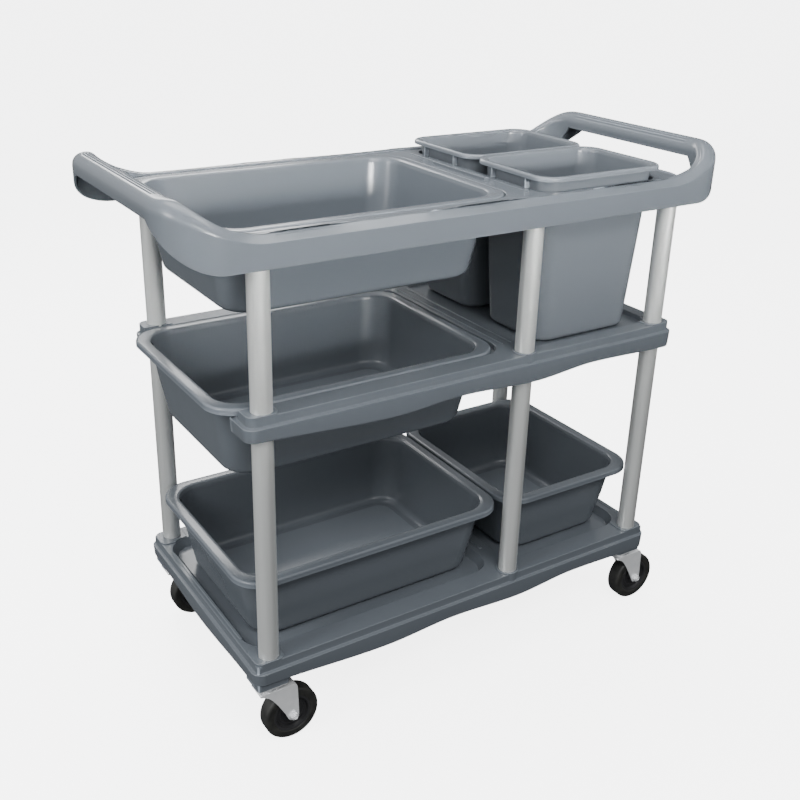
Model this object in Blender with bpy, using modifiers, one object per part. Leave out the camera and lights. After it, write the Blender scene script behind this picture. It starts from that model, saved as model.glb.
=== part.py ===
"""Three-tier food service trolley: three moulded shelves on twelve aluminium
tubes, four lift-out tubs, two tall bins and four swivel casters.

Metres, +Z up.  The origin is on the floor, midway between the end posts and
midway between the front (-Y) and rear (+Y) posts.
"""
import math

import bmesh
import bpy
from mathutils import Matrix

# ---------------------------------------------------------------- driving sizes
END_POST_X = 0.450          # end posts, each side of the middle
MIDDLE_POST_X = 0.107       # the middle posts stand between tub and bins
POST_Y = 0.240
TUBE_RADIUS = 0.019
TUBE_WALL = 0.0018
SOCKET_RADIUS = 0.0194      # bore that a tube pushes into
SOCKET_BOSS_RADIUS = 0.0245
SOCKET_DEPTH = 0.012
GAP = 0.0003                # between touching pieces

SHELF_HALF_X = 0.490        # outside of a shelf's lip
SHELF_HALF_Y = 0.268
SHELF_CORNER = 0.022
SHELF_DECK = 0.008          # deck thickness
SKIRT_WALL = 0.005
LIP_DROP = 0.018            # from a shelf's top edge down to its lip
TOP_EDGE_INSET = 0.007
SKIRT_DEPTH = 0.053         # from a shelf's top edge down to the skirt's edge
SKIRT_WAVES = ((-0.486, 0.010), (-0.20, -0.004), (-0.05, 0.004), (0.12, -0.004),
               (0.27, 0.0065), (0.47, 0.001))    # x and rise of the skirt's lower edge
END_SAG = 0.003             # the skirt hangs lowest at the middle of each end
BLOCK_RISE = 0.0065         # raised blocks round the posts

MIDDLE_BOSS_DROP = 0.034    # from the middle shelf's top edge to its lower sockets
LARGE_RECESS = (-0.462, 0.078)   # x ranges of the recesses that hold tubs and bins
MEDIUM_RECESS = (0.136, 0.446)
BIN_RECESS = (0.128, 0.450)
RECESS_HALF_Y = 0.206
RECESS_FLARE = 0.030        # spread of the recess walls over twice that height
OPEN_END_HALF_Y = 0.200     # the middle shelf is open at its left end
PAN_WALL = 0.004

BOTTOM_TOP = 0.205          # top edge of the bottom shelf
MIDDLE_TOP = 0.7005         # top edge of the middle shelf
TOP_BAND_LOW = 0.951        # lower edge of the top shelf's skirt
TOP_CREASE = 0.994          # crease where the top shelf's side turns inward
TOP_LEVEL = 1.003           # top of the top shelf's side rails
TOP_DECK = 1.000
TOP_BOSS_LOW = 0.955        # lower end of the sockets under the top shelf

HANDLE_HALF_X = 0.602       # outside of the handles
HANDLE_CORNER = 0.095
HANDLE_LOW = 1.027          # lower edge of a handle bar
HANDLE_CREASE = 1.045
HANDLE_TOP = 1.061
HANDLE_WIDTH = 0.050
RAIL_WIDTH = 0.034
CROWN_INSET = 0.016         # where the band's chamfer meets its crown
BAND_WALL = 0.005
RISE_START_X = 0.440        # where the rails start to sweep up to the handles
RISE_LENGTH = 0.190
DECK_SPAN = (-0.520, 0.503)  # ends of the top shelf's deck, inside the handles

TUB_HALF_X = 0.2975         # outside of the large tub's rim
TUB_HALF_Y = 0.216
TUB_HEIGHT = 0.158
TUB_CORNER = 0.060
TUB_FLANGE = 0.0215
TUB_DRAFT = 0.0215
MEDIUM_HALF_X = 0.183
BIN_HALF_X = 0.156
BIN_HALF_Y = 0.115
BIN_HEIGHT = 0.338
BIN_CORNER = 0.040
BIN_FLANGE = 0.0115
BIN_DRAFT_X = 0.022
BIN_DRAFT_Y = 0.012
WALL = 0.003                # tubs and bins
LIP_HEIGHT = 0.013          # turned-down edge of their rims

TOP_TUB_X = -0.215
MIDDLE_TUB_X = -0.2225
LOWER_TUB_X = -0.1865
MEDIUM_TUB_X = 0.300
BIN_X = 0.291
BIN_Y = 0.1165
TOP_TUB_RIM = 1.002
MIDDLE_TUB_RIM = 0.7015
RECESS_DEPTH = 0.018        # the bottom shelf's recesses
BIN_FLOOR = 0.6900          # bottoms of the bins

WHEEL_RADIUS = 0.056
TYRE_WIDTH = 0.032
TYRE_BORE = 0.039
CASTER_TRAIL = 0.043
FORK_GAP = 0.036
FORK_SHEET = 0.0025
FORK_EYE = 0.0115           # radius of the legs' rounded ends
FORK_CROWN_TOP = 0.129
PLATE_TOP = 0.1445
PLATE_THICKNESS = 0.0035
PLATE_HALF_X = 0.030
PLATE_HALF_Y = 0.027
CASTER_Y = 0.232
RACE_RADIUS = 0.0225
WELL_RADIUS = 0.0115        # clearance over the kingpin's riveted head
AXLE_RADIUS = 0.0040
KINGPIN_RADIUS = 0.0050

COLLECTION = "food_service_trolley"
GREY = (0.175, 0.195, 0.215)

# ---------------------------------------------------------------- scene helpers
for old in list(bpy.data.objects):
    bpy.data.objects.remove(old, do_unlink=True)


def make_collection(name):
    group = bpy.data.collections.new(name)
    bpy.context.scene.collection.children.link(group)
    return group


PARTS = make_collection(COLLECTION)
CUTTERS = make_collection("cutters")


def finish_material(name, rgb, roughness, metallic):
    mat = bpy.data.materials.new(name)
    mat.use_nodes = True
    shader = mat.node_tree.nodes["Principled BSDF"]
    shader.inputs["Base Color"].default_value = (*rgb, 1.0)
    shader.inputs["Roughness"].default_value = roughness
    shader.inputs["Metallic"].default_value = metallic
    return mat


def add_object(name, bm, group, location=(0, 0, 0), parent=None):
    bmesh.ops.recalc_face_normals(bm, faces=bm.faces)
    mesh = bpy.data.meshes.new(name)
    bm.to_mesh(mesh)
    bm.free()
    mesh.shade_smooth()
    mesh.set_sharp_from_angle(angle=math.radians(35))
    obj = bpy.data.objects.new(name, mesh)
    obj.location = location
    obj.parent = parent
    group.objects.link(obj)
    return obj


def add_part(name, bm, look, location=(0, 0, 0), parent=None):
    obj = add_object(name, bm, PARTS, location, parent)
    obj.data.materials.append(finish_material(name, *look))
    return obj


def add_cutter(name, bm, parent=None):
    obj = add_object(name, bm, CUTTERS, parent=parent)
    obj.hide_render = True
    obj.display_type = "WIRE"
    return obj


def boolean(obj, tool, operation):
    step = obj.modifiers.new(tool.name, "BOOLEAN")
    step.object = tool
    step.operation = operation
    step.solver = "EXACT"


def add_empty(name, location, parent=None):
    empty = bpy.data.objects.new(name, None)
    empty.location = location
    empty.parent = parent
    PARTS.objects.link(empty)
    return empty


# ---------------------------------------------------------------- shape helpers
def rounded_outline(half_x, half_y, radius, arc_steps=4, side_steps=(1, 1)):
    """Points round a rounded rectangle, anticlockwise from the rear right."""
    points = []
    inner_x, inner_y = half_x - radius, half_y - radius
    corners = ((1, 1), (-1, 1), (-1, -1), (1, -1))
    for index, (sx, sy) in enumerate(corners):
        start = index * math.pi / 2
        arc = [start + math.pi / 2 * k / arc_steps for k in range(arc_steps + 1)]
        points += [(sx * inner_x + radius * math.cos(a),
                    sy * inner_y + radius * math.sin(a)) for a in arc]
        next_sx, next_sy = corners[(index + 1) % 4]
        last = points[-1]
        turn = start + math.pi / 2
        first = (next_sx * inner_x + radius * math.cos(turn),
                 next_sy * inner_y + radius * math.sin(turn))
        steps = side_steps[index % 2]
        points += [(last[0] + (first[0] - last[0]) * k / steps,
                    last[1] + (first[1] - last[1]) * k / steps)
                   for k in range(1, steps)]
    return points


def loft(rings, capped=True):
    """Skin over rings of equal length; the ends are capped or joined up."""
    bm = bmesh.new()
    rows = [[bm.verts.new(p) for p in ring] for ring in rings]
    pairs = list(zip(rows, rows[1:]))
    if not capped:
        pairs.append((rows[-1], rows[0]))
    for lower, upper in pairs:
        count = len(lower)
        for k in range(count):
            bm.faces.new((lower[k], lower[(k + 1) % count],
                          upper[(k + 1) % count], upper[k]))
    if capped:
        bm.faces.new(reversed(rows[0]))
        bm.faces.new(rows[-1])
    return bm


def prism(half_x, half_y, radius, low, high, centre=(0, 0), arc_steps=4, spread=0.0):
    """An upright rounded block; spread makes its top larger than its foot."""
    rings = []
    for z, extra in ((low, 0.0), (high, spread)):
        outline = rounded_outline(half_x + extra, half_y + extra, radius + extra,
                                  arc_steps)
        rings.append([(x + centre[0], y + centre[1], z) for x, y in outline])
    return loft(rings)


def cylinder(radius, low, high, centre=(0, 0), segments=16):
    bm = bmesh.new()
    bmesh.ops.create_cone(bm, cap_ends=True, segments=segments, radius1=radius,
                          radius2=radius, depth=high - low)
    bmesh.ops.translate(bm, verts=bm.verts,
                        vec=(centre[0], centre[1], (low + high) / 2))
    return bm


def turned(name, profile, look, steps, location, parent=None, closed=True):
    """A profile of (radius, height) points spun about Z with a Screw."""
    bm = bmesh.new()
    verts = [bm.verts.new((radius, 0, height)) for radius, height in profile]
    for a, b in zip(verts, verts[1:]):
        bm.edges.new((a, b))
    if closed:
        bm.edges.new((verts[-1], verts[0]))
    mesh = bpy.data.meshes.new(name)
    bm.to_mesh(mesh)
    bm.free()
    obj = bpy.data.objects.new(name, mesh)
    PARTS.objects.link(obj)
    obj.location = location
    obj.parent = parent
    spin = obj.modifiers.new("spin", "SCREW")
    spin.angle = 2 * math.pi
    spin.steps = steps
    spin.render_steps = steps
    spin.use_smooth_shade = True
    spin.use_merge_vertices = True
    spin.merge_threshold = 0.00001
    mesh.materials.append(finish_material(name, *look))
    return obj


def smooth(t):
    t = min(max(t, 0.0), 1.0)
    return t * t * (3 - 2 * t)


# ---------------------------------------------------------------- looks
PLASTIC = (GREY, 0.38, 0.0)
ALUMINIUM = ((0.76, 0.77, 0.76), 0.35, 1.0)
ZINC = ((0.72, 0.73, 0.75), 0.28, 1.0)
RUBBER = ((0.018, 0.018, 0.017), 0.55, 0.0)
HUB = ((0.03, 0.03, 0.03), 0.45, 0.0)

POSTS = {f"{side}_{place}": (x, y)
         for side, y in (("front", -POST_Y), ("rear", POST_Y))
         for place, x in (("left", -END_POST_X), ("middle", MIDDLE_POST_X),
                          ("right", END_POST_X))}


# ---------------------------------------------------------------- lower shelves
def skirt_rise(x):
    """Scallops along a skirt: smooth steps between its crests and troughs."""
    if x <= SKIRT_WAVES[0][0]:
        return SKIRT_WAVES[0][1]
    for (x0, rise0), (x1, rise1) in zip(SKIRT_WAVES, SKIRT_WAVES[1:]):
        if x <= x1:
            return rise0 + (rise1 - rise0) * smooth((x - x0) / (x1 - x0))
    return SKIRT_WAVES[-1][1]


def skirt_edge(x, y, top):
    """Height of a skirt's lower edge, along the sides and round the ends."""
    rise = skirt_rise(x)
    inward = smooth(1 - abs(y) / (SHELF_HALF_Y - SHELF_CORNER))
    return top - SKIRT_DEPTH + rise - (rise + END_SAG) * inward


def shelf_body(name, top):
    """Shelf open underneath: top edge, lip, scalloped skirt, inside, deck."""
    under = top - SHELF_DECK
    rows = ((TOP_EDGE_INSET + 0.002, top), (TOP_EDGE_INSET, top - 0.002),
            (TOP_EDGE_INSET, top - LIP_DROP + 0.003), (0.0, top - LIP_DROP),
            (0.002, None), (0.002 + SKIRT_WALL, None),
            (TOP_EDGE_INSET + SKIRT_WALL, under))
    rings = []
    for inset, height in rows:
        outline = rounded_outline(SHELF_HALF_X - inset, SHELF_HALF_Y - inset,
                                  SHELF_CORNER - inset, 3, (16, 6))
        rings.append([(x, y, skirt_edge(x, y, top) if height is None else height)
                      for x, y in outline])
    return add_part(name, loft(rings), PLASTIC)


def post_block(sx, sy, x, y, top, under):
    """Raised block that carries a corner post's sockets."""
    half = 0.030
    reach_x = (SHELF_HALF_X - TOP_EDGE_INSET - 0.001 - half) * sx if abs(x) > 0.3 else x
    reach_y = (SHELF_HALF_Y - TOP_EDGE_INSET - 0.001 - half * 0.9) * sy
    return prism(half, half * 0.9, 0.012, under, top + BLOCK_RISE,
                 (reach_x, reach_y), 3)


def add_posts_to_shelf(shelf, top, boss_low, bore_up, bore_down):
    """Blocks and bosses at the six posts, then their blind sockets."""
    for place, (x, y) in POSTS.items():
        sx, sy = math.copysign(1, x), math.copysign(1, y)
        if "middle" in place:
            raised = cylinder(SOCKET_BOSS_RADIUS - 0.001, boss_low, top + BLOCK_RISE, (x, y))
        else:
            raised = post_block(sx, sy, x, y, top, boss_low)
        boolean(shelf, add_cutter(f"{shelf.name}_block_{place}", raised), "UNION")
    for place, centre in POSTS.items():
        if bore_down:
            hole = cylinder(SOCKET_RADIUS, top + BLOCK_RISE - SOCKET_DEPTH, top + 0.05,
                            centre)
            boolean(shelf, add_cutter(f"{shelf.name}_upper_bore_{place}", hole),
                    "DIFFERENCE")
        if bore_up:
            hole = cylinder(SOCKET_RADIUS, boss_low - 0.05, boss_low + SOCKET_DEPTH,
                            centre)
            boolean(shelf, add_cutter(f"{shelf.name}_lower_bore_{place}", hole),
                    "DIFFERENCE")


def cut_pocket(shelf, label, x_range, half_y, low, high, radius, spread=0.0):
    centre_x = (x_range[0] + x_range[1]) / 2
    half_x = (x_range[1] - x_range[0]) / 2
    block = prism(half_x, half_y, radius, low, high, (centre_x, 0), 4, spread)
    boolean(shelf, add_cutter(f"{shelf.name}_{label}", block), "DIFFERENCE")


def add_pan(shelf, label, x_range, half_y, low, high, radius):
    centre_x = (x_range[0] + x_range[1]) / 2
    half_x = (x_range[1] - x_range[0]) / 2
    block = prism(half_x, half_y, radius, low, high, (centre_x, 0))
    boolean(shelf, add_cutter(f"{shelf.name}_{label}", block), "UNION")


def bottom_shelf():
    top = BOTTOM_TOP
    shelf = shelf_body("bottom_shelf", top)
    floor = top - RECESS_DEPTH
    for label, span in (("large_pan", LARGE_RECESS), ("medium_pan", MEDIUM_RECESS)):
        grow = PAN_WALL + RECESS_FLARE / 3
        grown = (span[0] - grow, span[1] + grow)
        add_pan(shelf, label, grown, RECESS_HALF_Y + grow, floor - PAN_WALL,
                top - SHELF_DECK / 2, 0.040)
    for sx in (-1, 1):
        for sy in (-1, 1):
            pad = prism(PLATE_HALF_X + 0.003, PLATE_HALF_Y + 0.002, 0.008,
                        PLATE_TOP + GAP, top - SHELF_DECK / 2,
                        (sx * END_POST_X, sy * CASTER_Y), 2)
            boolean(shelf, add_cutter(f"caster_pad_{sx}_{sy}", pad), "UNION")
            well = cylinder(WELL_RADIUS, PLATE_TOP - 0.01, PLATE_TOP + 0.006,
                            (sx * END_POST_X, sy * CASTER_Y), 12)
            boolean(shelf, add_cutter(f"rivet_well_{sx}_{sy}", well), "DIFFERENCE")
    add_posts_to_shelf(shelf, top, top - 0.020, bore_up=False, bore_down=True)
    for label, span in (("large_recess", LARGE_RECESS), ("medium_recess", MEDIUM_RECESS)):
        cut_pocket(shelf, label, span, RECESS_HALF_Y, floor, floor + 2 * RECESS_FLARE,
                   0.036, RECESS_FLARE)
    return shelf


def middle_shelf():
    top = MIDDLE_TOP
    shelf = shelf_body("middle_shelf", top)
    rebate_floor = MIDDLE_TUB_RIM - LIP_HEIGHT - GAP
    rim_end = MIDDLE_TUB_X + TUB_HALF_X + 0.004
    opening_end = MIDDLE_TUB_X + TUB_HALF_X - TUB_FLANGE + 0.0015
    add_pan(shelf, "rebate_pan", (-0.478, rim_end + PAN_WALL), TUB_HALF_Y + 0.008,
            rebate_floor - PAN_WALL, top - SHELF_DECK / 2, 0.02)
    add_pan(shelf, "bin_pan", (BIN_RECESS[0] - PAN_WALL, BIN_RECESS[1] + PAN_WALL),
            0.231, BIN_FLOOR - GAP - PAN_WALL, top - SHELF_DECK / 2, 0.03)
    add_posts_to_shelf(shelf, top, top - MIDDLE_BOSS_DROP, bore_up=True, bore_down=True)
    cut_pocket(shelf, "rim_rebate", (-0.60, rim_end), TUB_HALF_Y + 0.003,
               rebate_floor, top + 0.03, 0.05)
    cut_pocket(shelf, "tub_opening", (-0.70, opening_end), OPEN_END_HALF_Y,
               top - 0.1, top + 0.03, 0.045)
    cut_pocket(shelf, "bin_recess", BIN_RECESS, 0.226, BIN_FLOOR - GAP,
               BIN_FLOOR + 0.04, 0.03, 0.008)
    return shelf


# ---------------------------------------------------------------- top shelf
def band_outline(inset, sections):
    """Plan of the handle band; it is narrower along the sides than at the bars."""
    narrow = (RAIL_WIDTH - CROWN_INSET) / (HANDLE_WIDTH - CROWN_INSET)
    inset_y = min(inset, CROWN_INSET) + max(inset - CROWN_INSET, 0.0) * narrow
    return rounded_outline(HANDLE_HALF_X - inset, SHELF_HALF_Y - inset_y,
                           HANDLE_CORNER - inset * 0.9, 6, sections)


def rise(outer):
    """0 on the side rails, 1 along a handle bar, from the outer plan point."""
    straight = HANDLE_HALF_X - HANDLE_CORNER
    x, y = abs(outer[0]), abs(outer[1])
    if x <= straight:
        run = x - RISE_START_X
    else:
        turn = math.atan2(x - straight, max(y - (SHELF_HALF_Y - HANDLE_CORNER), 0.0))
        run = straight - RISE_START_X + HANDLE_CORNER * turn
    return smooth(run / RISE_LENGTH)


def low_edge(outer):
    """Lower edge of the band: level along the sides, up round the corners."""
    straight = HANDLE_HALF_X - HANDLE_CORNER
    x, y = abs(outer[0]), abs(outer[1])
    if x <= straight:
        return TOP_BAND_LOW
    turn = math.atan2(x - straight, max(y - (SHELF_HALF_Y - HANDLE_CORNER), 0.0))
    return TOP_BAND_LOW + (HANDLE_LOW - TOP_BAND_LOW) * (1 - math.cos(turn))


def handle_band():
    """Inverted channel all round: outside, crease, crown, inside, hollow."""
    sections = (14, 2)
    outer = band_outline(0.0, sections)
    lift = [rise(p) for p in outer]
    low = [low_edge(p) for p in outer]

    def ring(inset, heights):
        return [(x, y, z) for (x, y), z in zip(band_outline(inset, sections), heights)]

    crease = [TOP_CREASE + (HANDLE_CREASE - TOP_CREASE) * t for t in lift]
    crown = [TOP_LEVEL + (HANDLE_TOP - TOP_LEVEL) * t for t in lift]
    shoulder = [TOP_LEVEL + (HANDLE_TOP - 0.006 - TOP_LEVEL) * t for t in lift]
    inner_low = [max(z, TOP_DECK - 0.014) for z in low]
    wall = BAND_WALL
    rings = (ring(0.0, low), ring(0.0, crease), ring(CROWN_INSET, crown),
             ring(HANDLE_WIDTH - 0.014, crown), ring(HANDLE_WIDTH, shoulder),
             ring(HANDLE_WIDTH, inner_low), ring(HANDLE_WIDTH - wall, inner_low),
             ring(HANDLE_WIDTH - wall, [z - wall for z in shoulder]),
             ring(CROWN_INSET + 0.001, [z - wall for z in crown]),
             ring(wall, [z - wall for z in crease]), ring(wall, low))
    return loft(rings, capped=False)


def top_shelf():
    shelf = add_part("top_shelf", handle_band(), PLASTIC)
    rim_floor = TOP_TUB_RIM - LIP_HEIGHT - GAP
    rim_span = (TOP_TUB_X - TUB_HALF_X - 0.003, TOP_TUB_X + TUB_HALF_X + 0.004)
    body_half_x = TUB_HALF_X - TUB_FLANGE + 0.0015
    opening = (TOP_TUB_X - body_half_x, TOP_TUB_X + body_half_x)
    bin_half_x = BIN_HALF_X - BIN_FLANGE + 0.003
    bin_half_y = BIN_Y + BIN_HALF_Y - BIN_FLANGE + 0.003
    deck = prism((DECK_SPAN[1] - DECK_SPAN[0]) / 2, 0.250, 0.070, rim_floor - PAN_WALL,
                 TOP_DECK, (sum(DECK_SPAN) / 2, 0), 5)
    boolean(shelf, add_cutter("top_deck", deck), "UNION")
    for place, centre in POSTS.items():
        boss = cylinder(SOCKET_BOSS_RADIUS, TOP_BOSS_LOW, TOP_DECK - 0.0007, centre)
        boolean(shelf, add_cutter(f"top_boss_{place}", boss), "UNION")
    for place, centre in POSTS.items():
        hole = cylinder(SOCKET_RADIUS, TOP_BOSS_LOW - 0.05, TOP_BOSS_LOW + SOCKET_DEPTH,
                        centre)
        boolean(shelf, add_cutter(f"top_bore_{place}", hole), "DIFFERENCE")
    cut_pocket(shelf, "rim_rebate", rim_span, TUB_HALF_Y + 0.003, rim_floor,
               TOP_LEVEL + 0.03, TUB_CORNER)
    cut_pocket(shelf, "tub_opening", opening, TUB_HALF_Y - TUB_FLANGE + 0.0015,
               TOP_BAND_LOW - 0.1, TOP_LEVEL + 0.02, 0.045)
    cut_pocket(shelf, "bin_opening", (BIN_X - bin_half_x, BIN_X + bin_half_x), bin_half_y,
               TOP_BAND_LOW - 0.1, TOP_LEVEL + 0.02, 0.035)
    return shelf


# ---------------------------------------------------------------- posts
def tube(name, low, high, centre):
    outer, inner = TUBE_RADIUS, TUBE_RADIUS - TUBE_WALL
    length = high - low
    profile = ((outer, length), (outer, 0), (inner, 0), (inner, length))
    return turned(name, profile, ALUMINIUM, 16, (centre[0], centre[1], low))


def tubes():
    lower = (BOTTOM_TOP + BLOCK_RISE - SOCKET_DEPTH + GAP,
             MIDDLE_TOP - MIDDLE_BOSS_DROP + SOCKET_DEPTH - GAP)
    upper = (MIDDLE_TOP + BLOCK_RISE - SOCKET_DEPTH + GAP,
             TOP_BOSS_LOW + SOCKET_DEPTH - GAP)
    for tier, (low, high) in (("lower", lower), ("upper", upper)):
        for place, centre in POSTS.items():
            tube(f"{tier}_tube_{place}", low, high, centre)


# ---------------------------------------------------------------- tubs and bins
def container(name, half, height, corner, flange, draft, location):
    """Open moulded box: drafted walls, a flat flange and a turned-down lip."""
    foot = 0.0120
    rows = ((flange + foot, 1, 0.0), (flange + 0.0035, 1, 0.0035), (flange, 1, foot),
            (flange, 0, height - 0.0045), (0.0035, 0, height - 0.0045),
            (0.0025, 0, height - LIP_HEIGHT), (0.0, 0, height - LIP_HEIGHT),
            (0.0, 0, height - 0.0040), (0.0035, 0, height),
            (flange, 0, height - 0.0012), (flange + WALL + 0.0015, 0, height - 0.0060),
            (flange + WALL, 1, foot + 0.002), (flange + foot, 1, WALL))
    rings = []
    for inset, deep, z in rows:
        outline = rounded_outline(half[0] - inset - deep * draft[0],
                                  half[1] - inset - deep * draft[1],
                                  corner - 0.3 * inset)
        rings.append([(x, y, z) for x, y in outline])
    return add_part(name, loft(rings), PLASTIC, location)


def containers():
    large = (TUB_HALF_X, TUB_HALF_Y)
    medium = (MEDIUM_HALF_X, TUB_HALF_Y)
    draft = (TUB_DRAFT, TUB_DRAFT)
    recess_floor = BOTTOM_TOP - RECESS_DEPTH + GAP
    tubs = (("top_tub", large, TOP_TUB_X, TOP_TUB_RIM - TUB_HEIGHT),
            ("middle_tub", large, MIDDLE_TUB_X, MIDDLE_TUB_RIM - TUB_HEIGHT),
            ("lower_large_tub", large, LOWER_TUB_X, recess_floor),
            ("lower_medium_tub", medium, MEDIUM_TUB_X, recess_floor))
    for name, half, x, z in tubs:
        container(name, half, TUB_HEIGHT, TUB_CORNER, TUB_FLANGE, draft, (x, 0, z))
    for name, y in (("front_bin", -BIN_Y), ("rear_bin", BIN_Y)):
        container(name, (BIN_HALF_X, BIN_HALF_Y), BIN_HEIGHT, BIN_CORNER, BIN_FLANGE,
                  (BIN_DRAFT_X, BIN_DRAFT_Y), (BIN_X, y, BIN_FLOOR))


# ---------------------------------------------------------------- casters
def fork_mesh():
    """Side profile of the fork, cut through between its two legs."""
    half = FORK_GAP / 2 + FORK_SHEET
    back = CASTER_TRAIL + FORK_EYE
    arc = [math.radians(205 + 155 * k / 4) for k in range(5)]
    outline = [(-0.025, FORK_CROWN_TOP), (-0.025, FORK_CROWN_TOP - 0.004),
               (-0.007, FORK_CROWN_TOP - 0.010), (0.010, 0.095), (0.025, 0.066)]
    outline += [(CASTER_TRAIL + FORK_EYE * math.cos(a),
                 WHEEL_RADIUS + FORK_EYE * math.sin(a)) for a in arc]
    outline += [(back - 0.003, FORK_CROWN_TOP - 0.005), (back - 0.010, FORK_CROWN_TOP)]
    return loft([[(x, y, z) for x, z in outline] for y in (-half, half)])


def caster(place, x, y):
    swivel = add_empty(f"swivel_{place}", (x, y, 0.0))
    fork = add_part(f"fork_{place}", fork_mesh(), ZINC, parent=swivel)
    dome = cylinder(RACE_RADIUS - 0.002, FORK_CROWN_TOP - 0.001, FORK_CROWN_TOP + 0.006)
    throat = prism(0.09, FORK_GAP / 2, 0.001, -0.01, FORK_CROWN_TOP - FORK_SHEET,
                   arc_steps=1)
    pin_hole = cylinder(KINGPIN_RADIUS + 0.0005, 0.08, 0.14, segments=8)
    axle_hole = cylinder(AXLE_RADIUS + 0.0005, -0.04, 0.04, segments=8)
    bmesh.ops.rotate(axle_hole, verts=axle_hole.verts, cent=(0, 0, 0),
                     matrix=Matrix.Rotation(math.pi / 2, 3, "X"))
    bmesh.ops.translate(axle_hole, verts=axle_hole.verts,
                        vec=(CASTER_TRAIL, 0, WHEEL_RADIUS))
    for label, tool, operation in (("dome", dome, "UNION"), ("throat", throat, "DIFFERENCE"),
                                   ("pin_hole", pin_hole, "DIFFERENCE"),
                                   ("axle_hole", axle_hole, "DIFFERENCE")):
        boolean(fork, add_cutter(f"{label}_{place}", tool, swivel), operation)

    plate = add_part(f"plate_{place}", prism(PLATE_HALF_X, PLATE_HALF_Y, 0.006,
                                             PLATE_TOP - PLATE_THICKNESS, PLATE_TOP,
                                             arc_steps=3), ZINC, (x, y, 0))
    plate_hole = cylinder(KINGPIN_RADIUS + 0.0005, 0.1, 0.2, (x, y), 8)
    boolean(plate, add_cutter(f"plate_hole_{place}", plate_hole), "DIFFERENCE")

    race_low = FORK_CROWN_TOP + 0.006 + GAP
    race_high = PLATE_TOP - PLATE_THICKNESS - GAP
    race = ((RACE_RADIUS, race_high), (RACE_RADIUS + 0.0015, (race_low + race_high) / 2),
            (RACE_RADIUS - 0.001, race_low), (0.0165, race_low), (0.0165, race_high))
    turned(f"race_{place}", race, ZINC, 14, (x, y, 0))

    crown_under = FORK_CROWN_TOP - FORK_SHEET
    pin = ((0.0, PLATE_TOP + 0.0045), (0.0075, PLATE_TOP + 0.0035),
           (0.0085, PLATE_TOP + GAP), (KINGPIN_RADIUS, PLATE_TOP + GAP),
           (KINGPIN_RADIUS, crown_under - GAP), (0.009, crown_under - GAP),
           (0.009, crown_under - 0.0030), (0.0, crown_under - 0.0045))
    turned(f"kingpin_{place}", pin, ZINC, 8, (x, y, 0), closed=False)

    hub_axis = add_empty(f"wheel_{place}", (CASTER_TRAIL, 0, WHEEL_RADIUS), swivel)
    half = TYRE_WIDTH / 2
    tyre = ((WHEEL_RADIUS - 0.0035, half), (WHEEL_RADIUS, half - 0.005),
            (WHEEL_RADIUS, 0.005 - half), (WHEEL_RADIUS - 0.0035, -half),
            (TYRE_BORE, -half), (TYRE_BORE, half))
    hub = ((TYRE_BORE - GAP, 0.0145), (TYRE_BORE - GAP, -0.0145), (0.0335, -0.0145),
           (0.0140, -0.0080), (0.0125, -0.0170), (0.0046, -0.0170), (0.0046, 0.0170),
           (0.0125, 0.0170), (0.0140, 0.0080), (0.0335, 0.0145))
    outside = FORK_GAP / 2 + FORK_SHEET + GAP
    axle = ((0.0, outside + 0.0045), (0.0065, outside + 0.0040), (0.0078, outside + 0.002),
            (0.0078, outside), (AXLE_RADIUS, outside), (AXLE_RADIUS, -outside - 0.0085),
            (0.0, -outside - 0.0085))
    nut = ((0.0078, -outside), (0.0078, -outside - 0.0060), (0.0048, -outside - 0.0060),
           (0.0048, -outside))
    pieces = (("tyre", tyre, RUBBER, 24, hub_axis, True), ("hub", hub, HUB, 12, hub_axis, True),
              ("axle", axle, ZINC, 8, swivel, False), ("axle_nut", nut, ZINC, 6, swivel, True))
    for label, profile, look, steps, parent, closed in pieces:
        centre = (0, 0, 0) if parent is hub_axis else (CASTER_TRAIL, 0, WHEEL_RADIUS)
        piece = turned(f"{label}_{place}", profile, look, steps, centre, parent, closed)
        piece.rotation_euler = (math.pi / 2, 0, 0)


def casters():
    for side, y in (("front", -CASTER_Y), ("rear", CASTER_Y)):
        for end, x in (("left", -END_POST_X), ("right", END_POST_X)):
            caster(f"{side}_{end}", x, y)


bottom_shelf()
middle_shelf()
top_shelf()
tubes()
containers()
casters()
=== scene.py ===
"""Looks of the food service trolley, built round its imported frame."""
import math

import bmesh
import bpy
from mathutils import Matrix, Vector


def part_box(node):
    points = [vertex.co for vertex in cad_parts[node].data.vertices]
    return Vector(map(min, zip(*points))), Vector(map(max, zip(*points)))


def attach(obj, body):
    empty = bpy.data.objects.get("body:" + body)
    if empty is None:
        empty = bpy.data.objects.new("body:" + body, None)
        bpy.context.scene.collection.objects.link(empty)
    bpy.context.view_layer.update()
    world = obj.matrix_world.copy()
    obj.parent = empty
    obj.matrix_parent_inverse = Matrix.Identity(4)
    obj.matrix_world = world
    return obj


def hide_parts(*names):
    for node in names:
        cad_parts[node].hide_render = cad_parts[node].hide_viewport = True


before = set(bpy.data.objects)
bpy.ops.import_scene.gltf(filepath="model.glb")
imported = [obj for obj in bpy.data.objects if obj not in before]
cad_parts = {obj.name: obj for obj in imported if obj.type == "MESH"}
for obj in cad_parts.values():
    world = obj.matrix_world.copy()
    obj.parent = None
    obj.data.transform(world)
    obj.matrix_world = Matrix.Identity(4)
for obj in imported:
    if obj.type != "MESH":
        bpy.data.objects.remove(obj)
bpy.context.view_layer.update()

# ---------------- places, from the frame
SHELF_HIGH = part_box("bottom_shelf")[1]
BAND_LOW, BAND_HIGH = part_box("top_shelf")
PLACES = ("front_left", "front_middle", "front_right",
          "rear_left", "rear_middle", "rear_right")
CORNERS = ("front_left", "front_right", "rear_left", "rear_right")


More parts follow.
